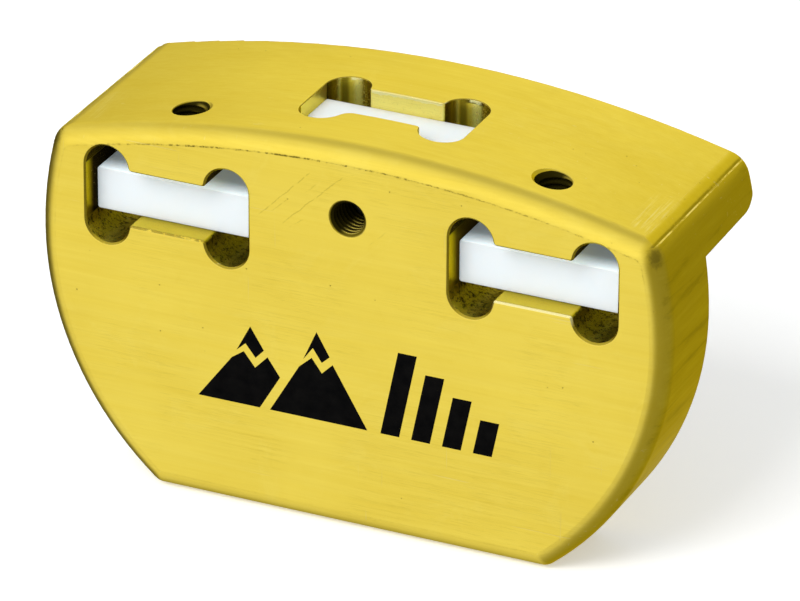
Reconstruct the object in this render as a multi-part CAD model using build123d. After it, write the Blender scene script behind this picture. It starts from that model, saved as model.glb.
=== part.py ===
from build123d import *
import math
import os

# Ski edge tuning tool: an L-section aluminium hand block with three clamped
# ceramic stones.  Units are millimetres.
#
# Frame: X along the length (left is -X), Y from the front face to the back,
# Z up.  The origin is under the middle of the tool on its flat bottom edge.

# ---------------------------------------------------------------- dimensions
# Body
HALF_LENGTH = 52.0        # widest half length of the outline
DEPTH = 36.8              # front face to the back of the flange
HEIGHT = 63.8             # bottom flat to the top of the crown
CROWN_R = 190.0           # long radius of the top face
WIDEST_Z = 40.1           # height at which the outline is widest
SIDE_R_LOW = 51.3         # outline radius below WIDEST_Z
SIDE_R_HIGH = 61.6        # outline radius above WIDEST_Z
TOP_CORNER_R = 4.2        # profile corner between crown and side
BOTTOM_CORNER_R = 2.2     # profile corner between side and bottom flat
CORNER_PASS = 0.36        # sideways shift of the cutter in its corner pass
CORNER_PASS_SINK = 0.015  # shift of the same cutter toward the crown's centre
FRONT_FILLET = 2.9        # roundover on the whole front outline
BACK_FILLET = 1.5         # roundover on the back of the flange
HEEL_R = 5.0              # larger radius along the lower back edge of the flange
PLATE_T = 16.2            # thickness of the upright plate
FLANGE_Z = 49.6           # underside of the flange where it meets the plate
FLANGE_RISE_DEG = 1.0     # the underside climbs toward the back by this angle

# Windows
WINDOW_X = 30.2           # distance of the front window centres from x = 0
WINDOW_Z = 48.25          # centre height of the front windows
WINDOW_W = 27.31
WINDOW_H = 9.0
SIDE_POCKET_DEPTH = 17.0  # front windows are milled this deep
TOP_WINDOW_Y = 16.8       # centre of the top window behind the front face
TOP_WINDOW_W = 26.9
TOP_WINDOW_H = 8.9        # size of the top window along Y
TOP_POCKET_FLOOR = 49.0   # ledge left in the plate under the top window
LOBE_R = 3.6              # corner relief radius (7.2 mm cutter)
JOIN_R = 0.6              # where a lobe runs into the long wall
SOFT_JOIN_R = 2.2         # the same at the front left lobe of the top window
FRONT_BREAK = 0.3         # edge break around the front windows
TOP_BREAK = 0.12          # edge break around the top window

# Threaded holes
HOLE_X = WINDOW_X         # side clamp screws, over the middle of their windows
HOLE_Y = PLATE_T / 2      # and in the middle of the plate's thickness
FRONT_HOLE_Z = 52.3       # centre clamp screw, in the front face
PITCH = 1.0               # M6 x 1
BORE_R = 2.5              # tapping drill radius
THREAD_ROOT_R = 3.03      # bottom of the thread grooves in the body
THREAD_FLAT = 0.125       # flat at the bottom of each groove
RIM_R = 3.1               # countersunk mouth radius
FIRST_GROOVE = 1.15       # depth of the first groove below the mouth
LAST_GROOVE_MARGIN = 0.15  # least plain bore beyond the last groove
HOLE_OVERRUN = 0.6        # holes break this far into their windows
SIDE_MOUTH_RISE = 0.7     # the countersink tool stands this far out of the body
FRONT_MOUTH_RISE = 0.2

# Clamp screws and thrust pads
SCREW_R = 2.44            # crests of the screw, running inside the bore
SCREW_CORE_R = 2.08       # roots of the screw's thread
SCREW_LEN = 5.0
SCREW_CHAMFER = 0.35
SCREW_GROOVE_MARGIN = 0.05  # plain crest between lower chamfer and first groove
DOG_R = 1.25              # round point of the screw
DOG_LEN = 1.2
DOG_CHAMFER = 0.15
SOCKET_R = 1.5            # hexagon socket, centre to flat
SOCKET_DEPTH = 2.6
SOCKET_MOUTH_R = 1.9      # top of the countersink cone
SOCKET_MOUTH_H = 0.4      # height of that cone, half of it above the screw
PAD_R = 2.43              # swivel thrust pad
PAD_LEN = 2.75
PAD_CHAMFER = 0.25
DOG_CLEARANCE = 0.06      # between the screw's point and the pad's cup

# Stones
STONE_PLAY = 0.1          # window width less stone width
STONE_H = 6.9             # thickness across the clamping direction
STONE_FILLET = 0.4        # on the long edges
STONE_BREAK = 0.12        # around both ends
STONE_RECESS = 3.9        # side stones sit this far behind the front face
STONE_SHORT = 0.05        # side stones end this far short of the plate's back
TOP_STONE_Z = 60.8        # upper face of the base stone
BASE_STONE_LOW = 49.75    # lower face of the base stone
GAP = 0.02                # assembly gap

FRONT_Y = -DEPTH / 2
BACK_Y = DEPTH / 2
PLATE_BACK_Y = FRONT_Y + PLATE_T

SIDES = {"left": -1, "right": 1}
LOW_CENTERED = (Align.CENTER, Align.CENTER, Align.MIN)

# ------------------------------------------------------ axial clamping stacks
# stone, gap, pad, gap, screw: the side stones lie on the lower walls of their
# windows, the base stone against the back wall of the top window
side_stone_z = WINDOW_Z - WINDOW_H / 2 + GAP
side_pad_z = side_stone_z + STONE_H + GAP
side_screw_z = side_pad_z + PAD_LEN + GAP
base_stone_back = FRONT_Y + TOP_WINDOW_Y + TOP_WINDOW_H / 2 - GAP
base_stone_front = base_stone_back - STONE_H
base_pad_y = base_stone_front - GAP
base_screw_y = base_pad_y - PAD_LEN - GAP


def side_clamp(side, z):
    """Place on a side clamp axis, local +Z pointing up."""
    return Pos(side * HOLE_X, FRONT_Y + HOLE_Y, z)


def base_clamp(y):
    """Place on the centre clamp axis, local +Z pointing out of the front."""
    return Pos(0, y, FRONT_HOLE_Z) * Rot(90, 0, 0)


def xz_plane(y):
    """Plane with local x along X and local y up; its normal points to -Y."""
    return Plane((0, y, 0), x_dir=(1, 0, 0), z_dir=(0, -1, 0))


# ------------------------------------------------------------- outline in XZ
UPPER_CENTER = (HALF_LENGTH - SIDE_R_HIGH, WIDEST_Z)
LOWER_CENTER = (HALF_LENGTH - SIDE_R_LOW, WIDEST_Z)
CROWN_CENTER = (0.0, HEIGHT - CROWN_R)


def polar(center, radius, angle):
    return (center[0] + radius * math.cos(angle), center[1] + radius * math.sin(angle))


def angle_to(center, point):
    return math.atan2(point[1] - center[1], point[0] - center[0])


def arc_mid(center, radius, start, end):
    return polar(center, radius, (angle_to(center, start) + angle_to(center, end)) / 2)


def side_meets_crown(inset):
    """Where the upper right side arc and the crown cross, both moved in by inset."""
    side_r, crown_r = SIDE_R_HIGH - inset, CROWN_R - inset
    dx = CROWN_CENTER[0] - UPPER_CENTER[0]
    dz = CROWN_CENTER[1] - UPPER_CENTER[1]
    distance = math.hypot(dx, dz)
    along = (side_r ** 2 - crown_r ** 2 + distance ** 2) / (2 * distance)
    across = math.sqrt(side_r ** 2 - along ** 2)
    foot_x = UPPER_CENTER[0] + along * dx / distance
    foot_z = UPPER_CENTER[1] + along * dz / distance
    shift_x, shift_z = across * dz / distance, across * dx / distance
    crossings = [(foot_x + shift_x, foot_z - shift_z), (foot_x - shift_x, foot_z + shift_z)]
    return max(crossings, key=sum)


def make_outline():
    def flip(point):
        return (-point[0], point[1])

    top = side_meets_crown(0.0)
    widest = (HALF_LENGTH, WIDEST_Z)
    bottom = (LOWER_CENTER[0] + math.sqrt(SIDE_R_LOW ** 2 - WIDEST_Z ** 2), 0.0)
    upper_mid = arc_mid(UPPER_CENTER, SIDE_R_HIGH, top, widest)
    lower_mid = arc_mid(LOWER_CENTER, SIDE_R_LOW, widest, bottom)
    outline = make_face([
        ThreePointArc(flip(top), (0.0, HEIGHT), top),
        ThreePointArc(top, upper_mid, widest),
        ThreePointArc(widest, lower_mid, bottom),
        Line(bottom, flip(bottom)),
        ThreePointArc(flip(bottom), flip(lower_mid), flip(widest)),
        ThreePointArc(flip(widest), flip(upper_mid), flip(top)),
    ])
    for height, radius in ((top[1], TOP_CORNER_R), (0.0, BOTTOM_CORNER_R)):
        corners = [v for v in outline.vertices() if abs(v.Y - height) < 0.01]
        outline = fillet(corners, radius)
    return outline


# -------------------------------------------------------------- body cutters
def under_flange_tool():
    """Everything behind the plate and below the flange, with the rounded heel."""
    over = 5.0           # reach beyond the body, behind and below
    half_length = 80.0
    slope = math.radians(FLANGE_RISE_DEG)
    tangent = HEEL_R / math.tan((math.pi / 2 + slope) / 2)
    corner_z = FLANGE_Z + math.tan(slope) * (BACK_Y - PLATE_BACK_Y)
    heel_back = (BACK_Y, corner_z + tangent)
    heel_under = (BACK_Y - tangent * math.cos(slope), corner_z - tangent * math.sin(slope))
    center = (BACK_Y - HEEL_R, heel_back[1])
    heel_mid = polar(center, HEEL_R, angle_to(center, (BACK_Y, corner_z)))
    plate_low, plate_top = (PLATE_BACK_Y, -over), (PLATE_BACK_Y, FLANGE_Z)
    far_low, far_top = (BACK_Y + over, -over), (BACK_Y + over, heel_back[1])
    section = make_face([
        Line(plate_low, far_low),
        Line(far_low, far_top),
        Line(far_top, heel_back),
        ThreePointArc(heel_back, heel_mid, heel_under),
        Line(heel_under, plate_top),
        Line(plate_top, plate_low),
    ])
    yz = Plane((-half_length, 0, 0), x_dir=(0, 1, 0), z_dir=(1, 0, 0))
    return extrude(yz * section, 2 * half_length)


def corner_pass_tool():
    """Separate pass along Y over the upper half of the right corner radius: it
    runs out in the crown and leaves a thin upward-facing step half way round."""
    corner = side_meets_crown(TOP_CORNER_R)
    side_angle = angle_to(UPPER_CENTER, corner)
    crown_angle = angle_to(CROWN_CENTER, corner)
    sin_crown, cos_crown = math.sin(crown_angle), math.cos(crown_angle)
    center = (corner[0] - CORNER_PASS * sin_crown - CORNER_PASS_SINK * cos_crown,
              corner[1] + CORNER_PASS * cos_crown - CORNER_PASS_SINK * sin_crown)
    step_angle = (side_angle + crown_angle) / 2
    step = polar(center, TOP_CORNER_R, step_angle)
    arc_middle = polar(center, TOP_CORNER_R, (step_angle + crown_angle) / 2)
    crown_end = polar(center, TOP_CORNER_R, crown_angle)
    above = polar(center, TOP_CORNER_R + 4.0, crown_angle)  # 4 clear of the crown
    outer_x = center[0] + 9.0                               # clear of the side
    face = make_face([
        ThreePointArc(step, arc_middle, crown_end),
        Line(crown_end, above),
        Line(above, (outer_x, above[1])),
        Line((outer_x, above[1]), (outer_x, step[1])),
        Line((outer_x, step[1]), step),
    ])
    return extrude(xz_plane(BACK_Y + 1) * face, DEPTH + 2)


def dogbone(width, height, join_radii={}):
    """Rectangle with a round relief at each corner.  The four points where a
    relief runs into a long wall are rounded by JOIN_R, or by the radius that
    join_radii gives for the corner's (x sign, y sign)."""
    corners = [(-1, -1), (-1, 1), (1, -1), (1, 1)]
    sketch = Rectangle(width, height)
    for x, y in corners:
        sketch = sketch + Pos(x * (width / 2 - LOBE_R), y * height / 2) * Circle(LOBE_R)
    join_x, join_y = width / 2 - 2 * LOBE_R, height / 2
    for x, y in corners:
        joins = [v for v in sketch.vertices()
                 if abs(v.X - x * join_x) < 0.01 and abs(v.Y - y * join_y) < 0.01]
        sketch = fillet(joins, join_radii.get((x, y), JOIN_R))
    return sketch


# The threads are closed rings of 60 degree thread form at the true pitch; the
# screws run with clearance inside the crests.
def groove_half(crest_r, root_r):
    """Half the width of a groove at its crests."""
    return THREAD_FLAT / 2 + abs(root_r - crest_r) * math.tan(math.radians(30.0))


def groove(crest_r, root_r, z, heading):
    """Profile points of a groove centred at z; heading is 1 upward, -1 downward."""
    half = heading * groove_half(crest_r, root_r)
    flat = heading * THREAD_FLAT / 2
    return [(crest_r, z - half), (root_r, z - flat), (root_r, z + flat), (crest_r, z + half)]


def turned(points):
    return revolve(Plane.XZ * make_face(Polyline(*points, close=True)), Axis.Z)


def hole_tool(length, rise):
    """Tapped hole along local Z, its mouth at z = 0 and its end at -length; the
    countersink continues to z = rise."""
    points = [(0.0, rise), (RIM_R + rise, rise), (BORE_R, -(RIM_R - BORE_R))]
    half = groove_half(BORE_R, THREAD_ROOT_R)
    z = -FIRST_GROOVE
    while z > -length + half + LAST_GROOVE_MARGIN:
        points += groove(BORE_R, THREAD_ROOT_R, z, -1)
        z -= PITCH
    points += [(BORE_R, -length), (0.0, -length)]
    return turned(points)


# ---------------------------------------------------------------------- body
def edges_at_y(shape, y):
    found = []
    for edge in shape.edges():
        box = edge.bounding_box()
        if abs(box.min.Y - y) < 1e-3 and abs(box.max.Y - y) < 1e-3:
            found.append(edge)
    return found


def is_front_rim(edge):
    """True for a front face edge around one of the front windows."""
    box = edge.bounding_box()
    mid_x = abs((box.min.X + box.max.X) / 2)
    return abs(mid_x - WINDOW_X) < 15 and box.min.Z > 38.0 and box.max.Z < 58.0


def is_top_rim(edge):
    """True for a crown edge around the top window."""
    box = edge.bounding_box()
    return (box.min.Z > 63.0 and max(abs(box.min.X), abs(box.max.X)) < 13.7
            and box.min.Y > -11.0 and box.max.Y < 8.5)


def make_body():
    body = extrude(xz_plane(BACK_Y) * make_outline(), DEPTH)
    body = fillet(edges_at_y(body, FRONT_Y), FRONT_FILLET)
    body = fillet(edges_at_y(body, BACK_Y), BACK_FILLET)
    body = body - under_flange_tool()
    corner_tool = corner_pass_tool()
    body = body - corner_tool
    body = body - mirror(corner_tool, about=Plane.YZ)

    # windows
    lead = 1.0  # the front cutters start this far ahead of the front face
    front_window = dogbone(WINDOW_W, WINDOW_H)
    for side in SIDES.values():
        profile = xz_plane(FRONT_Y - lead) * (Pos(side * WINDOW_X, WINDOW_Z) * front_window)
        body = body - extrude(profile, -(SIDE_POCKET_DEPTH + lead))
    top_window = dogbone(TOP_WINDOW_W, TOP_WINDOW_H, {(-1, -1): SOFT_JOIN_R})
    profile = Plane((0, 0, TOP_POCKET_FLOOR)) * (Pos(0, FRONT_Y + TOP_WINDOW_Y) * top_window)
    body = body - extrude(profile, 20.0)
    body = chamfer([e for e in edges_at_y(body, FRONT_Y) if is_front_rim(e)], FRONT_BREAK)
    body = chamfer([e for e in body.edges() if is_top_rim(e)], TOP_BREAK)

    # side holes, from the crown down to the upper walls of the front windows
    hole_z = CROWN_CENTER[1] + math.sqrt(CROWN_R ** 2 - HOLE_X ** 2)
    side_len = hole_z - (WINDOW_Z + WINDOW_H / 2)
    side_tool = hole_tool(side_len + HOLE_OVERRUN, SIDE_MOUTH_RISE)
    for side in SIDES.values():
        body = body - side_clamp(side, hole_z) * side_tool

    # centre hole, from the front face back to the top window
    front_len = TOP_WINDOW_Y - TOP_WINDOW_H / 2
    return body - base_clamp(FRONT_Y) * hole_tool(front_len + HOLE_OVERRUN, FRONT_MOUTH_RISE)


# ------------------------------------------------------------- loose pieces
def make_stone(low, high, axis):
    """Block between two corners, its long edges (along axis) rounded."""
    center = [(a + b) / 2 for a, b in zip(low, high)]
    stone = Pos(*center) * Box(*[b - a for a, b in zip(low, high)])
    stone = fillet(stone.edges().filter_by(axis), STONE_FILLET)
    ends = []
    for edge in stone.edges():
        box = edge.bounding_box()
        if abs((box.max - box.min).dot(axis.direction)) < 1e-4:
            ends.append(edge)
    return chamfer(ends, STONE_BREAK)


def make_side_stone(side):
    center_x, half = side * WINDOW_X, (WINDOW_W - STONE_PLAY) / 2
    return make_stone((center_x - half, FRONT_Y + STONE_RECESS, side_stone_z),
                      (center_x + half, PLATE_BACK_Y - STONE_SHORT, side_stone_z + STONE_H),
                      Axis.Y)


def make_base_stone():
    half = (TOP_WINDOW_W - STONE_PLAY) / 2
    return make_stone((-half, base_stone_front, BASE_STONE_LOW),
                      (half, base_stone_back, TOP_STONE_Z), Axis.Z)


def make_screw():
    """Socket set screw along local +Z, its shoulder at z = 0 and a plain
    round point below it."""
    points = [(0.0, -DOG_LEN), (DOG_R - DOG_CHAMFER, -DOG_LEN),
              (DOG_R, -DOG_LEN + DOG_CHAMFER), (DOG_R, 0.0),
              (SCREW_R - SCREW_CHAMFER, 0.0), (SCREW_R, SCREW_CHAMFER)]
    half = groove_half(SCREW_R, SCREW_CORE_R)
    z = SCREW_CHAMFER + half + SCREW_GROOVE_MARGIN
    while z < SCREW_LEN - SCREW_CHAMFER - half:
        points += groove(SCREW_R, SCREW_CORE_R, z, 1)
        z += PITCH
    points += [(SCREW_R, SCREW_LEN - SCREW_CHAMFER), (SCREW_R - SCREW_CHAMFER, SCREW_LEN),
               (0.0, SCREW_LEN)]
    hexagon = RegularPolygon(SOCKET_R, 6, major_radius=False)
    screw = turned(points) - extrude(Plane((0, 0, SCREW_LEN - SOCKET_DEPTH)) * hexagon, 4.0)
    mouth = Cone(SOCKET_R, SOCKET_MOUTH_R, SOCKET_MOUTH_H, align=LOW_CENTERED)
    return screw - Pos(0, 0, SCREW_LEN - SOCKET_MOUTH_H / 2) * mouth


def make_pad():
    """Cup with its bearing face at z = 0 and its mouth at z = PAD_LEN."""
    pad = Cylinder(PAD_R, PAD_LEN, align=LOW_CENTERED)
    pad = chamfer(pad.edges(), PAD_CHAMFER)
    cup = Cylinder(DOG_R + DOG_CLEARANCE, 3.0, align=LOW_CENTERED)
    return pad - Pos(0, 0, PAD_LEN - DOG_LEN - DOG_CLEARANCE) * cup


# ------------------------------------------------------------------- output
pad = make_pad()
screw = make_screw()
parts = {
    "body": make_body(),
    "stone_base": make_base_stone(),
    "pad_base": base_clamp(base_pad_y) * pad,
    "screw_base": base_clamp(base_screw_y) * screw,
}
for name, side in SIDES.items():
    parts["stone_side_" + name] = make_side_stone(side)
    parts["pad_side_" + name] = side_clamp(side, side_pad_z) * pad
    parts["screw_side_" + name] = side_clamp(side, side_screw_z) * screw

os.makedirs("parts", exist_ok=True)
for name, shape in parts.items():
    solid = max(shape.solids(), key=lambda piece: piece.volume)
    solid.label = name
    export_step(solid, "parts/" + name + ".step")
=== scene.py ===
# A gold anodised aluminium body with a crowned top, standing on the floor, its front
# face towards -y. Two windows at +-x open to the front and one in the middle opens
# to the top; each holds a white ceramic stone. There is a tapped hole in the crown
# near each end and one in the middle of the front, and a black print low on the front.
# The scene is in metres with +z up; the body's shaders work in millimetres.
import math
import bpy
import bmesh
from mathutils import Matrix, Vector


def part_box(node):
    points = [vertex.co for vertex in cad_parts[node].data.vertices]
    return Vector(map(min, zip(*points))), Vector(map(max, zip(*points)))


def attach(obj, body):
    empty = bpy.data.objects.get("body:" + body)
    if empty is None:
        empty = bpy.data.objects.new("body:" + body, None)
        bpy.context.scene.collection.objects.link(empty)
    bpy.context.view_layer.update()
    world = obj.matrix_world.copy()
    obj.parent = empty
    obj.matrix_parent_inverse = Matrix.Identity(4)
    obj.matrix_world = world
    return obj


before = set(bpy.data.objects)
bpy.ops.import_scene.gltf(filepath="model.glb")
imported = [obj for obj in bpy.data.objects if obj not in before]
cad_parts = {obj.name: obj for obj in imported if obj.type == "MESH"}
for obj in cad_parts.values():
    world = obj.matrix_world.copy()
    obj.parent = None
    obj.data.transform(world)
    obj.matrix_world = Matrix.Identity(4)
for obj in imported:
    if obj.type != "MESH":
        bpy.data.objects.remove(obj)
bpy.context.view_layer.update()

scene = bpy.context.scene

# ------------------------------------------------------------------ sizes (m)
MM = 1000                                    # millimetres in a metre
FRONT_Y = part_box("body")[0].y
left_lo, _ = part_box("stone_side_left")
right_lo, right_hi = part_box("stone_side_right")
base_lo, base_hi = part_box("stone_base")
STONE_GAP, END_GAP = 0.00002, 0.00005        # round a stone: long walls, end walls
SIDE_HALF_H, TOP_HALF_H = 0.0045, 0.00445    # half openings between the long walls
SIDE_X = (right_lo.x + right_hi.x) / 2       # centre of the front windows
SIDE_Z = left_lo.z - STONE_GAP + SIDE_HALF_H
SIDE_HALF_W = (right_hi.x - right_lo.x) / 2 + END_GAP
TOP_HALF_W = (base_hi.x - base_lo.x) / 2 + END_GAP
TOP_Y = base_hi.y + STONE_GAP - TOP_HALF_H   # centre of the top window
LOBE_R = 0.0036                              # round reliefs in the window corners
screw_lo, screw_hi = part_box("screw_side_right")
HOLE_X = (screw_lo.x + screw_hi.x) / 2       # holes in the crown
HOLE_Y = (screw_lo.y + screw_hi.y) / 2
screw_lo, screw_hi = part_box("screw_base")
FRONT_HOLE_Z = (screw_lo.z + screw_hi.z) / 2
RIDGE_X, RIDGE_Z = 0.04892, 0.0568           # thin step on the end corners
CROWN_R, CROWN_TOP = 190.0, 63.8             # crown radius and height, mm


# -------------------------------------------------------------- node helpers
def operator(operation, swapped=False):
    """A Field method that adds one Math node."""
    def method(self, *other):
        operands = (self, *other)
        return self.graph.math(operation, *(operands[::-1] if swapped else operands))
    return method


class Field:
    """An output socket. Arithmetic on it adds nodes; a | b is the larger of two
    values and a & b the smaller, so masks join with | and overlap with *."""
    __add__ = operator("ADD")
    __radd__ = operator("ADD", swapped=True)
    __sub__ = operator("SUBTRACT")
    __rsub__ = operator("SUBTRACT", swapped=True)
    __mul__ = operator("MULTIPLY")
    __rmul__ = operator("MULTIPLY", swapped=True)
    __truediv__ = operator("DIVIDE")
    __pow__ = operator("POWER")
    __abs__ = operator("ABSOLUTE")
    __or__ = operator("MAXIMUM")
    __ror__ = operator("MAXIMUM", swapped=True)
    __and__ = operator("MINIMUM")
    sqrt = operator("SQRT")
    sign = operator("SIGN")

    def __init__(self, graph, socket):
        self.graph = graph
        self.socket = socket

    def __neg__(self):
        return self * -1.0

    def output(self, key):
        """Another output of the same node."""
        return Field(self.graph, self.socket.node.outputs[key])

    def rise(self, start, end):
        """Smooth step: 0 at start, 1 at end."""
        limits = {"Value": self, "From Min": start, "From Max": end}
        return self.graph.add("ShaderNodeMapRange", limits, interpolation_type="SMOOTHSTEP")

    def fall(self, start, end):
        """Smooth step: 1 at start, 0 at end."""
        return 1.0 - self.rise(start, end)

    def band(self, rise_start, rise_end, fall_start, fall_end):
        """1 between rise_end and fall_start, 0 outside."""
        return self.rise(rise_start, rise_end) * self.fall(fall_start, fall_end)

    def spread(self, low, high, start=0.3, end=0.7):
        """The span start..end stretched straight onto low..high."""
        return self.graph.add("ShaderNodeMapRange", {
            "Value": self, "From Min": start, "From Max": end, "To Min": low, "To Max": high})

    def mix(self, off, on):
        """A number: off where this mask is 0, on where it is 1."""
        return self.graph.add("ShaderNodeMix", {0: self, 2: off, 3: on}, data_type="FLOAT")

    def tint(self, off, on):
        """A colour: off where this mask is 0, on where it is 1."""
        return self.graph.add("ShaderNodeMix", {0: self, 6: off, 7: on}, 2, data_type="RGBA")


class Graph:
    """Adds nodes to a node tree."""
    def __init__(self, tree):
        self.tree = tree

    def fill(self, node, inputs):
        """Links or sets inputs, given as {name or index: value}."""
        for key, value in inputs.items():
            socket = node.inputs[key]
            if isinstance(value, Field):
                self.tree.links.new(value.socket, socket)
            elif isinstance(value, tuple) and len(value) < len(socket.default_value):
                socket.default_value = (*value, 1.0)     # RGB into RGBA
            else:
                socket.default_value = value

    def node(self, kind, inputs=(), **settings):
        node = self.tree.nodes.new(kind)
        for name, value in settings.items():
            setattr(node, name, value)
        self.fill(node, dict(inputs))
        return node

    def add(self, kind, inputs=(), output=0, **settings):
        return Field(self, self.node(kind, inputs, **settings).outputs[output])

    def math(self, operation, *values):
        return self.add("ShaderNodeMath", dict(enumerate(values)), operation=operation)

    def scaled(self, vector, factor):
        return self.add("ShaderNodeVectorMath", {0: vector, "Scale": factor}, operation="SCALE")

    def dot(self, first, second):
        return self.add("ShaderNodeVectorMath", {0: first, 1: second}, "Value",
                        operation="DOT_PRODUCT")

    def mix_shader(self, factor, off, on):
        return self.add("ShaderNodeMixShader", {0: factor, 1: off, 2: on})


class Shader(Graph):
    """A material with one Principled BSDF."""
    def __init__(self, name):
        self.material = bpy.data.materials.new(name)
        self.material.use_nodes = True
        super().__init__(self.material.node_tree)
        self.tree.nodes.clear()
        bsdf = self.add("ShaderNodeBsdfPrincipled")
        self.bsdf = bsdf.socket.node
        self.node("ShaderNodeOutputMaterial", {0: bsdf})
        coords = self.add("ShaderNodeTexCoord", output="Object")
        self.position = self.scaled(coords, 1000.0)      # in millimetres
        self.normal = coords.output("Normal")            # in the piece's own frame

    def xyz(self, vector):
        part = self.add("ShaderNodeSeparateXYZ", {0: vector})
        return part, part.output(1), part.output(2)

    def noise(self, scale, detail=3.0, rough=0.5, warp=0.0, turn=(0, 0, 0), shift=(0, 0, 0)):
        """scale is cycles per millimetre, one number or one for each axis."""
        where = self.position
        if isinstance(scale, tuple):
            where = self.add("ShaderNodeMapping", {
                "Vector": where, "Scale": scale, "Rotation": turn, "Location": shift})
            scale = 1.0
        return self.add("ShaderNodeTexNoise", {
            "Vector": where, "Scale": scale, "Detail": detail, "Roughness": rough,
            "Distortion": warp})

    def specks(self, scale, size, share):
        """Round specks on Voronoi cells: core and rim radius in cells, and the span
        of the cell's random value above which a cell has a speck."""
        cell = self.add("ShaderNodeTexVoronoi", {"Vector": self.position, "Scale": scale},
                        "Distance")
        return cell.fall(*size) * self.xyz(cell.output("Color"))[0].rise(*share)

    def edges(self, radius, sharp, flat):
        """The bevelled normal, and a mask of the edges it rounds, from the cosine
        between the bevelled and the true normal."""
        bevelled = self.add("ShaderNodeBevel", {"Radius": radius}, samples=6)
        true_normal = self.add("ShaderNodeNewGeometry", output="Normal")
        return bevelled, self.dot(bevelled, true_normal).fall(sharp, flat)

    def occlusion(self, distance):
        return self.add("ShaderNodeAmbientOcclusion", {"Distance": distance}, "AO", samples=6)

    def bump(self, height, distance, normal=None):
        inputs = {"Distance": distance, "Height": height}
        if normal is not None:
            inputs["Normal"] = normal
        return self.add("ShaderNodeBump", inputs)

    def surface(self, inputs):
        self.fill(self.bsdf, inputs)


def layered(base, layers):
    """A colour with (mask, colour) layers laid over it in turn."""
    for mask, colour in layers:
        base = mask.tint(base, colour)
    return base


# -------------------------------------------------- gold anodised aluminium
# Each function below adds masks to the shader as attributes. The limits given to
# rise, fall and band are millimetres, parts of a unit normal or noise values.
def measure_body(gold):
    gold.x, gold.y, gold.z = gold.xyz(gold.position)
    gold.nx, gold.ny, gold.nz = gold.xyz(gold.normal)
    gold.depth = gold.y - FRONT_Y * MM       # behind the front face
    gold.out_x = abs(gold.x)                 # from the middle plane
    gold.faces_side = abs(gold.nx).rise(0.55, 0.85)
    gold.faces_front = (-gold.ny).rise(0.93, 0.98)
    gold.right = gold.nx.rise(0.12, 0.50)    # faces +x
    crown = (CROWN_R ** 2 - gold.x * gold.x).sqrt() - (CROWN_R - CROWN_TOP)
    gold.below = crown - gold.z              # under the crown


def window_distance(across, height, half_w, half_h):
    """Distance outside a window: a rectangle with round reliefs at its corners."""
    radius = LOBE_R * MM
    rectangle = (abs(across) - half_w) | (abs(height) - half_h)
    lobe_across = abs(across) - (half_w - radius)
    lobe_height = abs(height) - half_h
    lobe = (lobe_across * lobe_across + lobe_height * lobe_height).sqrt() - radius
    return rectangle & lobe


def mask_windows(gold):
    """Milled windows: walls, round reliefs and the broken rim."""
    depth, below = gold.depth, gold.below
    gold.side_x = gold.out_x - SIDE_X * MM
    gold.side_z = gold.z - SIDE_Z * MM
    top_y = gold.y - TOP_Y * MM
    side = window_distance(gold.side_x, gold.side_z, SIDE_HALF_W * MM, SIDE_HALF_H * MM)
    top = window_distance(gold.x, top_y, TOP_HALF_W * MM, TOP_HALF_H * MM)
    not_back = 1.0 - gold.ny.rise(0.9, 0.95) * depth.rise(16.0, 16.1)
    not_under = (-gold.nz).fall(0.9, 0.95)
    gold.side_in = side.fall(0.22, 0.25) * not_back * depth.band(0.29, 0.32, 17.2, 17.3)
    gold.top_in = (top.fall(0.20, 0.23) * not_under
                   * (below.rise(0.11, 0.14) * gold.z.rise(48.9, 48.95)))
    gold.rim_side = side.fall(0.32, 0.36) * depth.band(0.004, 0.012, 0.29, 0.32)
    rim_top = top.fall(0.15, 0.19) * below.band(0.008, 0.015, 0.11, 0.14)
    gold.rim = gold.rim_side | rim_top
    gold.lobes = (gold.side_in * abs(gold.side_z).rise(4.56, 4.7)
                  | gold.top_in * abs(top_y).rise(4.51, 4.65))
    # straight rims: the lower one of the front windows, the rear one of the top window
    gold.sill = (gold.rim_side * (-gold.side_z).rise(4.3, 4.45)
                 * abs(gold.side_x).fall(6.3, 6.7))
    gold.rear_rim = rim_top * top_y.rise(4.2, 4.4) * gold.out_x.fall(6.1, 6.5)


def mask_holes(gold):
    """Tapped holes; light only catches the crests on one side of each bore."""
    x, y, z, out_x = gold.x, gold.y, gold.z, gold.out_x
    depth, below = gold.depth, gold.below
    crown_r = ((out_x - HOLE_X * MM) ** 2.0 + (y - HOLE_Y * MM) ** 2.0).sqrt()
    front_r = (x * x + (z - FRONT_HOLE_Z * MM) ** 2.0).sqrt()
    crown_hole = crown_r.fall(3.16, 3.2) * (z.rise(52.8, 52.9) * below.rise(0.02, 0.25))
    front_hole = front_r.fall(3.16, 3.2) * depth.band(0.02, 0.25, 13.0, 13.1)
    gold.hole = crown_hole | front_hole
    # cosine to the lit direction; the small addend keeps the axis from dividing by zero
    crown_lit = (((out_x - HOLE_X * MM) * (0.75 * x.sign()) + (y - HOLE_Y * MM) * 0.66)
                 / (crown_r + 0.001))
    front_lit = (x * 0.52 - (z - FRONT_HOLE_Z * MM) * 0.85) / (front_r + 0.001)
    crown_lit = crown_lit.rise(0.60, 0.94)
    front_lit = front_lit.rise(0.40, 0.88)
    gold.crown_crest = crown_hole * crown_r.fall(2.52, 2.90) * (crown_lit * below.fall(0.7, 1.4))
    gold.front_crest = front_hole * front_r.fall(2.51, 2.66) * (front_lit * depth.fall(4.6, 7.0))
    gold.crest = gold.crown_crest | gold.front_crest
    gold.front_lip = front_hole * front_lit * depth.fall(0.45, 0.62)
    gold.pocket = (gold.side_in | gold.top_in) * (1.0 - gold.hole)


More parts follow.
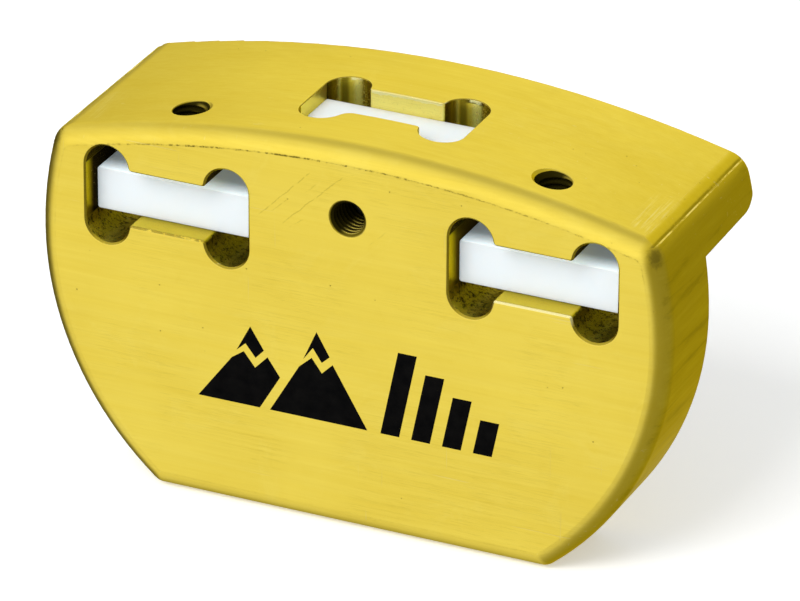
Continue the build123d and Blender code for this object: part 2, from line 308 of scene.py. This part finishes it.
def add_textures(gold):
    """Broad unevenness of the dye, brushing, fine grain."""
    noise = gold.noise
    gold.cloud = noise((0.035, 0.05, 0.045), detail=4.0, rough=0.55, warp=0.3)
    gold.grain = gold.faces_side.mix(noise((0.05, 2.6, 2.6), detail=5.0, rough=0.62),
                                     noise((1.3, 0.07, 1.6), detail=5.0, rough=0.62))
    gold.streak = noise((0.022, 0.45, 0.55), detail=4.0, rough=0.6, warp=0.2,
                        turn=(0, 0.02, 0.03))
    gold.side_streak = noise((0.35, 0.045, 0.42), detail=5.0, rough=0.65, warp=0.3)
    gold.fine = noise(9.0, detail=3.0, rough=0.7)
    gold.mottle = noise((0.22, 0.3, 0.3), detail=5.0, rough=0.7, warp=0.6)
    gold.blotch = noise((0.09, 0.14, 0.12), detail=6.0, rough=0.68, warp=1.2,
                        shift=(3.1, 7.7, 1.3))
    gold.crust = noise(3.4, detail=5.0, rough=0.78)
    gold.chatter = noise((1.0, 0.75, 1.0), detail=6.0, rough=0.78)
    gold.drift = noise((0.6, 0.22, 0.6), detail=5.0, rough=0.7)


# scratches beside the front hole: x0, z0, x1, z1 in mm, strength
LONG_SCRATCHES = (
    (-14.9, 50.0, -6.0, 58.9, 1.0), (-11.0, 49.3, -0.6, 59.2, 1.0),
    (-12.8, 51.0, -9.6, 53.8, 0.7), (-9.8, 48.8, -7.2, 51.0, 0.8),
    (3.4, 48.6, 6.6, 51.6, 0.5), (-7.4, 55.0, -4.9, 57.2, 0.6),
)


def mask_scratches(gold):
    x, z, noise = gold.x, gold.z, gold.noise
    # a few fine scratches in two directions
    first = noise((0.05, 1.0, 2.6), detail=2.0, turn=(0, 0.72, 0))
    second = noise((2.2, 1.0, 0.06), detail=2.0, turn=(0, 0.35, 0.25))
    zone = noise(0.045, detail=2.0).rise(0.50, 0.60)
    gold.scratch = (first.rise(0.715, 0.735) | second.rise(0.72, 0.74) * 0.7) * zone

    # hairlines on the front, along level lines of a stretched noise
    first = noise((0.045, 1.0, 2.2), rough=0.55, warp=0.15, turn=(0, 0.80, 0),
                  shift=(2.0, 0, 5.0))
    second = noise((0.06, 1.0, 3.1), rough=0.55, warp=0.15, turn=(0, 0.62, 0),
                   shift=(9.0, 0, 1.0))
    zone = noise(0.055, detail=2.0).rise(0.44, 0.58)
    lines = abs(first - 0.5).fall(0.006, 0.020) | abs(second - 0.56).fall(0.004, 0.014)
    gold.hairs = lines * zone * gold.faces_front

    wobble = (noise(0.5, rough=0.6) - 0.5) * 0.55
    marks = 0.0
    for x0, z0, x1, z1, strength in LONG_SCRATCHES:
        length = math.hypot(x1 - x0, z1 - z0)
        dir_x, dir_z = (x1 - x0) / length, (z1 - z0) / length
        along = (x - x0) * dir_x + (z - z0) * dir_z
        off = (z - z0) * dir_x - (x - x0) * dir_z + wobble
        mark = abs(off).fall(0.03, 0.13) * along.band(0.0, 1.0, length - 1.0, length)
        marks = marks | mark * strength
    gold.long_marks = marks * gold.faces_front * noise(0.8, rough=0.6).rise(0.34, 0.56)

    # rub marks across the crown next to each end
    rub = (gold.out_x.band(42.8, 44.6, 46.4, 48.2) * gold.depth.band(3.2, 5.0, 12.0, 17.0)
           * gold.nz.rise(0.9, 0.95))
    gold.rub = rub * noise((3.4, 0.10, 1.0), detail=4.0, rough=0.65).rise(0.47, 0.66)


def mask_nicks(gold):
    """Nicks and a hairline where the front roundover starts, mostly near the
    middle of the crown."""
    near = gold.depth.band(0.0003, 0.0012, 0.010, 0.024)
    dots = gold.noise((2.1, 1.0, 2.1), detail=6.0, rough=0.85)
    gate = gold.noise((0.11, 0.2, 0.2), detail=2.0, shift=(4.0, 0, 0))
    middle = gold.x.band(-36.0, -22.0, 2.0, 26.0)
    upper = gold.z.rise(50.0, 56.0) * (0.25 + 0.75 * middle)
    upper = 0.06 + 0.94 * upper
    gold.nick = (near * (dots + (gate - 0.5) * 0.30).rise(0.505, 0.60)
                 * (upper * (1.0 - gold.rim)))
    gold.nick_line = near * (0.45 * (gate * upper)) * (1.0 - gold.rim)


def mask_pits(gold):
    """Pits in the reliefs, few on the flat walls, very few outside."""
    coarse = gold.specks(2.1, size=(0.16, 0.30), share=(0.46, 0.52))
    small = gold.specks(4.6, size=(0.16, 0.30), share=(0.50, 0.56))
    ragged = gold.crust.rise(0.56, 0.64)
    patch = gold.noise(0.32, detail=2.0).rise(0.36, 0.52)
    # the addend leaves only the front depth to count inside the front windows
    shallow = (gold.depth & gold.below + gold.side_in * 50.0).fall(0.4, 1.8)
    gold.low_lobe = gold.side_in * gold.lobes * (-gold.side_z).rise(1.0, 2.0)
    # the upper reliefs of the front windows, which are painted dark as shade
    gold.high_lobe = gold.side_in * gold.lobes * gold.side_z.rise(1.0, 2.0)
    blot_noise = gold.noise(1.35, detail=5.0, rough=0.72, warp=0.4)
    gold.blots = blot_noise.rise(0.50, 0.60) * gold.low_lobe
    amount = gold.low_lobe | (gold.pocket * 0.14 | gold.top_in * gold.lobes * 0.30)
    gold.pits = (coarse | small | ragged * 0.8) * (amount * (patch * (1.0 - shallow * 0.7)))
    rare = gold.specks(0.42, size=(0.030, 0.055), share=(0.76, 0.80))
    gold.rare = rare * (1.0 - gold.pocket)


def mask_edges(gold):
    """Sharp edges, worn and given a painted highlight; the step on the end corners with a
    painted highlight and a painted shadow line; a painted highlight on a burr; a dark patch.
    """
    out_x, z, nz = gold.out_x, gold.z, gold.nz
    gold.bevelled, edge = gold.edges(0.00016, sharp=0.86, flat=0.972)
    # pale on worn edges, partly a painted highlight
    wear = edge * gold.noise((0.6, 0.6, 0.6), detail=4.0, rough=0.7).rise(0.36, 0.58)
    gold.wear = wear * (1.0 - (gold.hole | gold.rim_side * 0.8))

    def around(centre_x, centre_z, inner, outer):
        distance = ((out_x - centre_x) ** 2.0 + (z - centre_z) ** 2.0).sqrt()
        return distance.fall(inner, outer)

    # the step: a painted highlight along it, darker in patches, with a painted shadow line above
    # it
    gold.ledge = around(RIDGE_X * MM, RIDGE_Z * MM, 0.20, 0.34) * nz.rise(0.93, 0.97)
    groove = around(48.78, 56.86, 0.14, 0.52) * nz.fall(0.93, 0.97) * z.rise(56.78, 56.84)
    gold.groove = groove * (gold.chatter * 0.35 + gold.drift * 0.65).rise(0.30, 0.54)
    # painted highlight along the ragged upper edge of the rear wall of the top window
    ragged = gold.noise((0.55, 0.0, 0.0), rough=0.6) * 1.15
    gold.burr = (gold.top_in * (-gold.ny).rise(0.95, 0.98)
                 * (gold.below - ragged).fall(-0.06, 0.03))
    # a dark patch where the crown, the front roundover and the end meet
    off_x, off_y, off_z = out_x - 49.55, gold.depth - 0.95, z - 56.0
    distance = (off_x * off_x + off_y * off_y + off_z * off_z * 0.45).sqrt()
    uneven = (gold.noise(1.3, detail=4.0, rough=0.7) - 0.5) * 1.8
    gold.stain = (distance + uneven).fall(0.5, 1.75)


# Colour layers: (mask times strength, colour), lowest first.
def dye_layers(gold):
    deep, pale = (0.790, 0.595, 0.064), (0.920, 0.765, 0.150)
    side, right, streak = gold.faces_side, gold.right, gold.side_streak
    return [
        (gold.cloud.spread(0.0, 0.55), deep),
        (gold.streak.spread(0.0, 0.25, start=0.35), pale),
        (gold.mottle.rise(0.54, 0.72) * 0.22, deep),
        (gold.blotch.rise(0.53, 0.66) * 0.20, pale),
        (gold.grain.spread(0.0, 0.14, end=0.75), (0.66, 0.48, 0.03)),
        # the ends are left as milled, with streaks; their darker, more saturated colour is
        # painted shade, deepest on the +x end and higher up on it
        (side * 0.30, (0.56, 0.43, 0.028)),
        (right * 0.62, (0.61, 0.445, 0.008)),
        (side * streak.rise(0.50, 0.66) * 0.30, (0.80, 0.64, 0.06)),
        (side * (1.0 - streak).rise(0.52, 0.66) * 0.35, (0.30, 0.215, 0.008)),
        (right * gold.z.rise(42.0, 54.0) * 0.20, (0.38, 0.275, 0.006)),
    ]


def window_layers(gold):
    x, nx = gold.x, gold.nx
    side_in, top_in, lobes, sill = gold.side_in, gold.top_in, gold.lobes, gold.sill
    gold.lobes_side = lobes_side = lobes * side_in
    lobes_top = lobes * top_in
    # painted reflections on the reliefs of the top window: dark and bright bands by the
    # direction they face
    dull = nx.band(0.28, 0.46, 0.58, 0.70) | (nx.rise(0.84, 0.95) | (-nx).rise(0.62, 0.92))
    shine = nx.band(-0.50, -0.12, 0.0, 0.26) | nx.band(0.64, 0.72, 0.76, 0.84) * 0.6
    # the half of each front window's lower reliefs towards +x
    right_lobe = gold.low_lobe * (gold.side_x * x.sign()).rise(1.0, 3.0)
    # painted shade on the end walls of the front windows, deeper further in and in the left
    # window
    end_wall = side_in * (1.0 - lobes) * abs(nx).rise(0.7, 0.9)
    gold.grime = end_wall * ((gold.depth + x.rise(2.0, -2.0) * 0.5).rise(0.7, 3.4)
                             * x.rise(-2.0, 2.0).mix(0.94, 0.72))
    # shadow high in the right reliefs of the top window
    crescent = (lobes_top * x.rise(6.0, 7.0)
                * (nx.rise(-0.55, -0.25) * gold.below.fall(0.55, 0.85)))
    crescent = crescent * nx.fall(0.30, 0.55)
    near_shade, far_shade = gold.occlusion(0.0022), gold.occlusion(0.011)
    notch = sill * (-x).rise(-2.0, 2.0) * gold.chatter.rise(0.40, 0.52)
    return [
        # painted shade inside the windows, deeper in the reliefs
        (side_in * 0.12, (0.55, 0.42, 0.03)),
        (lobes_side * 0.30, (0.40, 0.31, 0.018)),
        (lobes_top * 0.35, (0.42, 0.32, 0.02)),
        (lobes_top * dull * 0.72, (0.10, 0.075, 0.004)),
        (lobes_top * shine * 0.85, (0.97, 0.86, 0.24)),
        (gold.pocket * (1.0 - near_shade) * side_in.mix(0.12, 0.75), (0.045, 0.034, 0.002)),
        ((1.0 - far_shade) * (side_in * 0.25), (0.08, 0.06, 0.003)),
        (lobes_side * (gold.crust.rise(0.42, 0.62) * 0.35), (0.10, 0.074, 0.004)),
        # painted shade in the upper reliefs of the front windows
        (gold.high_lobe * 0.72, (0.030, 0.023, 0.002)),
        (gold.blots * 0.80, (0.020, 0.015, 0.001)),
        (right_lobe * 0.42, (0.06, 0.045, 0.003)),
        # painted shade on the end walls
        (gold.grime, (0.030, 0.022, 0.002)),
        (crescent * 0.85, (0.012, 0.009, 0.001)),
        # painted highlights on the straight walls of the top window and along its ragged rear
        # edge
        (top_in * (1.0 - lobes) * 0.80, (0.97, 0.85, 0.24)),
        (gold.burr * 0.8, (0.97, 0.90, 0.45)),
        # rims: a thin painted dark reflection round the reliefs, a painted highlight along two
        # long walls
        (gold.rim * (1.0 - (sill | gold.rear_rim)) * 0.72, (0.30, 0.225, 0.012)),
        (sill * x.rise(-2.0, 2.0) * 0.75, (0.98, 0.91, 0.48)),
        (notch * 0.55, (0.15, 0.11, 0.006)),
        (gold.rear_rim * 0.60, (0.97, 0.90, 0.45)),
    ]


def mark_layers(gold):
    ledge, drift = gold.ledge, gold.drift
    return [
        # tapped holes: painted shade, black below the first turn, with painted glints on the lit
        # side of the lip and crests
        (gold.hole * 0.97, (0.010, 0.008, 0.001)),
        (gold.front_lip * 0.30, (0.50, 0.38, 0.03)),
        (gold.front_crest * 0.80, (0.86, 0.68, 0.12)),
        (gold.crown_crest * 0.45, (0.60, 0.46, 0.06)),
        (gold.hairs * 0.18, (0.45, 0.34, 0.03)),
        (gold.long_marks * 0.42, (0.42, 0.32, 0.025)),
        (gold.scratch * 0.28, (0.95, 0.84, 0.36)),
        (gold.rub * 0.34, (0.98, 0.90, 0.40)),
        # pale edges: wear and painted highlight
        (gold.wear * 0.60, (0.96, 0.87, 0.42)),
        # the step: painted highlight, darker in patches, then a painted shadow line
        (ledge * (0.22 * drift.rise(0.50, 0.64)), (0.98, 0.92, 0.50)),
        (ledge * (0.70 * drift.fall(0.47, 0.58)), (0.36, 0.27, 0.016)),
        (gold.groove * 0.62, (0.20, 0.15, 0.008)),
        (gold.stain * 0.62, (0.16, 0.12, 0.012)),
        (gold.nick_line, (0.32, 0.24, 0.02)),
        (gold.nick * 0.62, (0.16, 0.115, 0.010)),
        (gold.pits * 0.92, (0.014, 0.010, 0.001)),
        (gold.rare * 0.6, (0.35, 0.26, 0.03)),
    ]


def finish_gold(gold):
    """Colour, shine and relief from the masks."""
    def with_residue(mask):
        """The mask joined with the painted shade of the holes, less their bright crests."""
        return mask | gold.hole * (1.0 - gold.crest)

    pits, nick = gold.pits, gold.nick
    base = (0.860, 0.675, 0.092)
    colour = layered(base, dye_layers(gold) + window_layers(gold) + mark_layers(gold))
    rough = gold.grain.spread(0.34, 0.43)
    rough = rough + (gold.cloud - 0.5) * 0.12 + (gold.blotch - 0.5) * 0.10
    for mask, value in ((gold.pocket, 0.34), (gold.lobes * gold.top_in, 0.20),
                        (gold.rim, 0.26), (gold.wear, 0.28),
                        (with_residue(nick | pits), 0.75), (gold.crest, 0.22)):
        rough = mask.mix(rough, value)
    # dark reflections on pits and blots, and where shade is painted: holes, upper reliefs, end
    # walls
    dark = with_residue(pits) | (gold.high_lobe * 0.9 | (gold.blots * 0.8 | gold.grime))
    # a deeper reflection tint on the +x faces: painted shade on that end
    sheen = gold.right.tint((0.95, 0.86, 0.42), (0.93, 0.78, 0.12))

    height = (gold.grain * 0.55 + gold.fine * 0.30 + gold.mottle * 0.5
              - gold.scratch * 0.9 + gold.rub * 1.0 * 0.6
              + gold.lobes_side * gold.crust * 3.6)
    texture = gold.bump(height, 0.000012, gold.bevelled)
    dents = 1.0 - (pits | nick | (gold.rare | gold.groove * 0.6))
    gold.surface({
        "Base Color": colour,
        "Metallic": with_residue(pits).mix(0.97, 0.6),
        "Roughness": rough,
        "Specular IOR Level": with_residue(pits).mix(0.25, 0.0),
        "Specular Tint": dark.tint(sheen, (0.04, 0.03, 0.01)),
        "Normal": gold.bump(dents, 0.00008, texture),
    })


def anodised():
    gold = Shader("anodised_gold")
    for step in (measure_body, mask_windows, mask_holes, add_textures, mask_scratches,
                 mask_nicks, mask_pits, mask_edges, finish_gold):
        step(gold)
    return gold.material


# ----------------------------------------------------------- other materials
def ceramic():
    stone = Shader("white_ceramic")
    cloud = stone.noise(0.12)
    fine = stone.noise(14.0, detail=4.0, rough=0.75)
    grit = stone.specks(3.2, size=(0.06, 0.14), share=(0.80, 0.85))
    bevelled, edge = stone.edges(0.00018, sharp=0.93, flat=0.997)
    chips = edge * stone.noise(2.2, rough=0.7).rise(0.56, 0.64)
    smear = stone.noise((0.15, 0.5, 0.9), detail=4.0, rough=0.6).rise(0.60, 0.78) * 0.30
    # painted light: a glow standing in for light carried through the translucent block to faces
    # that see little sky, strongest next to the front edge of the side stones; the rear of their
    # tops gets painted shade
    _, y, z = stone.xyz(stone.position)
    _, ny, nz = stone.xyz(stone.normal)
    side = z.fall(51.5, 52.0)                # below the top stone
    front = left_lo.y * MM
    facing = (-ny).rise(0.5, 0.9) * side * y.fall(front + 0.5, front + 1.0)
    upward = nz.rise(0.5, 0.9) * side * y.fall(front - 0.2, front + 4.2)
    shaded = nz.rise(0.5, 0.9) * side * y.rise(front + 1.0, front + 5.0)
    height = (fine * 0.8 + stone.noise(5.0, rough=0.6) * 0.5) - (grit | chips) * 0.8
    stone.surface({
        "Base Color": layered((0.845, 0.885, 0.900), [
            (cloud.spread(0.0, 0.5), (0.80, 0.845, 0.865)),
            (smear * 0.35, (0.62, 0.64, 0.65)),
            (grit * 0.25, (0.58, 0.60, 0.62)),
            (chips * 0.35, (0.70, 0.71, 0.72)),
            # painted shade: the side stones' fronts near the edge darker, under more glow, and
            # the rear of their tops bluish grey
            (facing * 0.85, (0.645, 0.660, 0.680)),
            (shaded * 0.45, (0.52, 0.60, 0.66)),
        ]),
        "Roughness": fine.spread(0.42, 0.62),
        "Subsurface Weight": 0.70,
        "Subsurface Radius": (0.0030, 0.0037, 0.0042),
        "Subsurface Scale": 1.0,
        # painted glow: faint and bluish on all stones, stronger on the side stones' fronts and
        # their tops near the front edge
        "Emission Color": (0.79, 0.94, 1.0),
        "Emission Strength": 0.13 + (facing * 0.17 + upward * 0.43),
        "Specular IOR Level": 0.30,
        "Normal": stone.bump(height, 0.00001, bevelled),
    })
    return stone.material


def black_oxide():
    steel = Shader("black_oxide_steel")
    cloud = steel.noise(1.1, detail=4.0, rough=0.6)
    fine = steel.noise(12.0, rough=0.7)
    bevelled, edge = steel.edges(0.00010, sharp=0.9, flat=0.995)
    worn = edge * steel.noise(1.7, rough=0.7).rise(0.42, 0.6)
    steel.surface({
        "Base Color": layered((0.030, 0.030, 0.033), [
            (cloud.spread(0, 1), (0.060, 0.055, 0.050)),
            (worn * 0.6, (0.36, 0.35, 0.34)),
        ]),
        "Metallic": 0.85,
        "Roughness": fine.spread(0.30, 0.48),
        "Normal": steel.bump(fine + cloud, 0.00001, bevelled),
    })
    return steel.material


def brass():
    metal = Shader("turned_brass")
    cloud = metal.noise(0.9, detail=4.0, rough=0.6)
    fine = metal.noise(10.0, rough=0.7)
    bevelled, edge = metal.edges(0.00010, sharp=0.9, flat=0.995)
    metal.surface({
        "Base Color": layered((0.72, 0.50, 0.20), [
            (cloud.spread(0, 1), (0.55, 0.36, 0.13)),
            (edge * 0.5, (0.88, 0.70, 0.38)),
        ]),
        "Metallic": 0.95,
        "Roughness": fine.spread(0.25, 0.42),
        "Normal": metal.bump(fine, 0.00001, bevelled),
    })
    return metal.material


def ink():
    black = Shader("black_print")
    cloud = black.noise(0.5, detail=4.0, rough=0.6)
    fine = black.noise(8.0, detail=4.0, rough=0.75)
    pinholes = black.noise(3.0, detail=5.0, rough=0.8).rise(0.735, 0.75)
    black.surface({
        "Base Color": layered((0.0015, 0.0015, 0.0017), [
            (cloud.spread(0, 1), (0.0045, 0.0042, 0.0040)),
            (pinholes * 0.6, (0.30, 0.20, 0.03)),
        ]),
        "Roughness": fine.spread(0.65, 0.80),
        "Specular IOR Level": 0.02,
        "Normal": black.bump(fine + cloud, 0.000006),
    })
    return black.material


BODY, STONE, SCREW, PAD, INK = anodised(), ceramic(), black_oxide(), brass(), ink()


def material_for(name):
    if name == "body":
        return BODY
    if name.startswith("stone"):
        return STONE
    return SCREW if name.startswith("screw") else PAD


for name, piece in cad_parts.items():
    piece.data.materials.clear()
    piece.data.materials.append(material_for(name))
    for polygon in piece.data.polygons:
        polygon.material_index = 0

# ------------------------------------------------------ black print on front
PRINT_GAP, PRINT_THICK = 0.000004, 0.00002   # off the front face, and its thickness
PRINT_Z = 17.6                               # lower edge, mm

# outlines of two peaks and their caps: x, z on the front face, mm
PEAKS = [
    # left peak and its cap
    [(-25.0, PRINT_Z), (-14.6, PRINT_Z), (-11.2, 23.4), (-13.3, 26.4), (-15.4, 24.2),
     (-17.3, 26.6), (-19.3, 25.2)],
    [(-18.5, 26.6), (-17.0, 28.0), (-15.3, 25.9), (-13.9, 27.4), (-16.2, 31.0)],
    # right, larger peak and its cap
    [(-12.9, PRINT_Z), (3.4, PRINT_Z), (-2.4, 27.4), (-4.2, 25.6), (-5.9, 27.9), (-8.0, 26.0)],
    [(-7.3, 27.4), (-5.7, 29.6), (-4.2, 27.4), (-2.9, 28.6), (-5.1, 32.4)],
]
# slanted stripes to the right of the peaks, mm
STRIPE_X, STRIPE_PITCH, STRIPE_W, STRIPE_LEAN = 5.6, 5.1, 3.1, 0.20
STRIPE_HEIGHTS = (14.2, 11.4, 8.6, 5.8)


def stripe(index, height):
    x, lean = STRIPE_X + STRIPE_PITCH * index, height * STRIPE_LEAN
    return [(x, PRINT_Z), (x + STRIPE_W, PRINT_Z),
            (x + STRIPE_W + lean, PRINT_Z + height), (x + lean, PRINT_Z + height)]


def printed_mark(name, outlines):
    bm = bmesh.new()
    back_y = FRONT_Y - PRINT_GAP
    for points in outlines:
        lower, upper = [[bm.verts.new((x / MM, y, z / MM)) for x, z in points]
                        for y in (back_y, back_y - PRINT_THICK)]
        bm.faces.new(upper)
        bm.faces.new(list(reversed(lower)))
        for i in range(len(points)):
            j = (i + 1) % len(points)
            bm.faces.new((lower[i], lower[j], upper[j], upper[i]))
    bmesh.ops.recalc_face_normals(bm, faces=bm.faces[:])
    mesh = bpy.data.meshes.new(name)
    bm.to_mesh(mesh)
    bm.free()
    mark = bpy.data.objects.new(name, mesh)
    scene.collection.objects.link(mark)
    mark.data.materials.append(INK)
    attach(mark, "body")


printed_mark("printed_mark", PEAKS + [stripe(i, h) for i, h in enumerate(STRIPE_HEIGHTS)])


# ------------------------------------------------------------ floor, lights
def studio(direction):
    """What polished faces see in a direction: a white tent with darker and
    brighter regions."""
    def region(towards, start, full):
        """0..1 as the cosine to the region's centre goes from start to full."""
        centre = tuple(Vector(towards).normalized())
        return direction.graph.dot(direction, centre).rise(start, full)

    brightness = (
        region((0.90, -0.05, -0.43), -0.02, 0.50) * -0.62 + 1.02     # dark, low right
        - region((-0.20, 0.31, 0.93), 0.78, 0.98) * 0.44             # dark overhead
        + region((-0.20, 0.82, 0.53), 0.90, 1.0) * 0.13              # bright, high behind
        + region((-0.36, -0.92, 0.22), 0.74, 1.0) * 0.30             # bright, front left
        - region((-0.85, 0.40, -0.40), 0.50, 0.96) * 0.80            # dark, low left
        - region((-0.88, 0.15, -0.45), 0.70, 0.98) * 0.22)
    return brightness | 0.03


def floor_material():
    material = bpy.data.materials.new("floor")
    material.use_nodes = True
    graph = Graph(material.node_tree)
    nodes = material.node_tree.nodes
    principled = nodes["Principled BSDF"]
    graph.fill(principled, {
        "Base Color": (0.93, 0.93, 0.93), "Roughness": 0.9, "Specular IOR Level": 0.0,
        "Emission Color": (1, 1, 1), "Emission Strength": 0.34})
    incoming = graph.add("ShaderNodeNewGeometry", output="Incoming")
    mirrored = graph.add("ShaderNodeEmission",
                         {"Strength": studio(graph.scaled(incoming, -1.0))})
    # what diffuse rays from the pieces receive from below
    dim = graph.add("ShaderNodeBsdfDiffuse", {0: (0.50, 0.50, 0.50)})
    diffuse_ray = graph.add("ShaderNodeLightPath", output="Is Diffuse Ray")
    shader = graph.mix_shader(diffuse_ray, Field(graph, principled.outputs[0]), dim)
    shader = graph.mix_shader(diffuse_ray.output("Is Glossy Ray"), shader, mirrored)
    # clear from below, so that the underside can be looked at
    clear = graph.add("ShaderNodeBsdfTransparent")
    shader = graph.mix_shader(incoming.output("Backfacing"), shader, clear)
    graph.fill(nodes["Material Output"], {0: shader})
    return material


def make_floor(half=6.0, drop=0.0002):
    mesh = bpy.data.meshes.new("floor")
    corners = [(-half, -half, 0), (half, -half, 0), (half, half, 0), (-half, half, 0)]
    mesh.from_pydata(corners, [], [(0, 1, 2, 3)])
    floor = bpy.data.objects.new("floor", mesh)
    floor.location = (0, 0, -drop)
    scene.collection.objects.link(floor)
    floor.data.materials.append(floor_material())


def area(name, place, target, size, power, colour=(1, 1, 1)):
    """A square light, unseen by glossy rays."""
    data = bpy.data.lights.new(name, "AREA")
    data.energy = power
    data.color = colour
    data.size = size
    light = bpy.data.objects.new(name, data)
    light.location = place
    light.rotation_euler = (Vector(target) - Vector(place)).to_track_quat("-Z", "Y").to_euler()
    light.visible_glossy = False
    scene.collection.objects.link(light)


def make_world():
    """Soft light for diffuse rays, the studio for glossy ones, white for the camera."""
    world = bpy.data.worlds.new("studio")
    scene.world = world
    world.use_nodes = True
    world.node_tree.nodes.clear()
    graph = Graph(world.node_tree)
    soft = graph.add("ShaderNodeBackground", {0: (0.95, 0.98, 1.0), 1: 0.54})
    direction = graph.add("ShaderNodeTexCoord", output="Generated")
    shiny = graph.add("ShaderNodeBackground", {0: (1, 1, 1), 1: studio(direction)})
    seen = graph.add("ShaderNodeBackground", {0: (1, 1, 1)})
    glossy_ray = graph.add("ShaderNodeLightPath", output="Is Glossy Ray")
    shader = graph.mix_shader(glossy_ray, soft, shiny)
    shader = graph.mix_shader(glossy_ray.output("Is Camera Ray"), shader, seen)
    graph.node("ShaderNodeOutputWorld", {0: shader})


make_floor()
area("key", place=(-0.25, -1.10, 1.15), target=(0, 0, 0.03), size=0.8, power=16.0,
     colour=(1.0, 0.995, 0.985))
area("front", place=(0.10, -1.70, 0.50), target=(0, 0, 0.045), size=0.8, power=3.6)
area("fill", place=(-1.2, -0.9, 0.5), target=(0, 0, 0.03), size=0.9, power=1.0)
make_world()


# ------------------------------------------------------------------- camera
def make_camera(place, azimuth, elevation, roll, lens):
    """Angles in degrees; azimuth turns from the front (-y) towards +x."""
    data = bpy.data.cameras.new("camera")
    camera = bpy.data.objects.new("camera", data)
    scene.collection.objects.link(camera)
    az, el, roll = math.radians(azimuth), math.radians(elevation), math.radians(roll)
    back = Vector((math.sin(az) * math.cos(el), -math.cos(az) * math.cos(el), math.sin(el)))
    right = Vector((math.cos(az), math.sin(az), 0.0))
    up = back.cross(right)
    rolled_right = right * math.cos(roll) + up * math.sin(roll)
    rolled_up = up * math.cos(roll) - right * math.sin(roll)
    matrix = Matrix((rolled_right, rolled_up, back)).transposed().to_4x4()
    matrix.translation = Vector(place)
    camera.matrix_world = matrix
    data.sensor_fit = "HORIZONTAL"
    data.sensor_width = 36.0
    data.lens = lens
    data.clip_start = 0.05
    data.clip_end = 30.0
    scene.camera = camera


make_camera(place=(0.395534, -0.871345, 0.500695), azimuth=24.395, elevation=26.162,
            roll=0.367, lens=313.845)

scene.view_settings.view_transform = "Standard"
scene.view_settings.look = "None"
scene.view_settings.exposure = 0.0
scene.view_settings.gamma = 1.0
